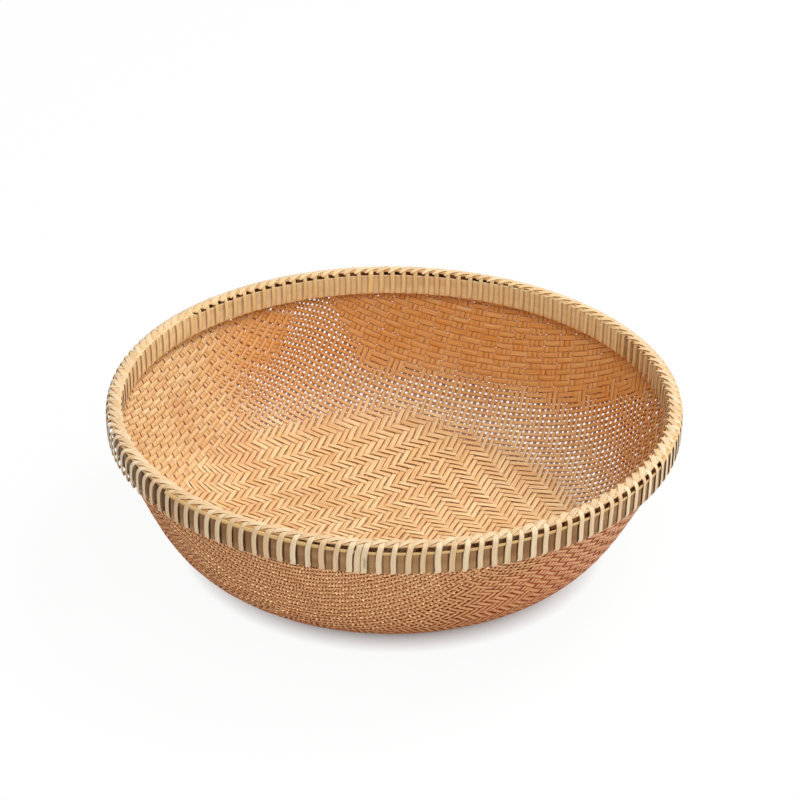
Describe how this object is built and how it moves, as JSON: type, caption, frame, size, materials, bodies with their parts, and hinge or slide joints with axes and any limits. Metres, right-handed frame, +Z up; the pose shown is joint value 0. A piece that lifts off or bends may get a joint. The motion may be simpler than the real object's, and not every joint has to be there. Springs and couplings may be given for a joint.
{
  "type": "woven bamboo basket",
  "caption": "Round open bowl of woven bamboo splints with a flat floor and a rim of two bent hoops lashed with flat cane.",
  "frame": {"origin": "centre of the flat floor's underside, on the ground", "axes": "+Z up, out of the bowl's mouth; -Y towards the viewer of the picture, +X to the viewer's right"},
  "size_m": [0.3, 0.3, 0.085],
  "materials": {
    "splint": "thin peeled bamboo splints, satin, light tan",
    "bamboo_skin": "dark olive-brown outer face of a bamboo strip, satin",
    "bamboo_flesh": "split inner face of a bamboo strip, satin, with straight grain",
    "cane": "pale flat cane, satin"
  },
  "bodies": {
    "root": {"woven_bowl": "splint", "outer_hoop": "bamboo_skin", "inner_hoop": "bamboo_flesh", "rim_filler": "bamboo_flesh", "lashing_1": "cane", "lashing_2": "cane", "lashing_3": "cane", "lashing_4": "cane", "lashing_5": "cane", "lashing_6": "cane"}
  },
  "joints": []
}
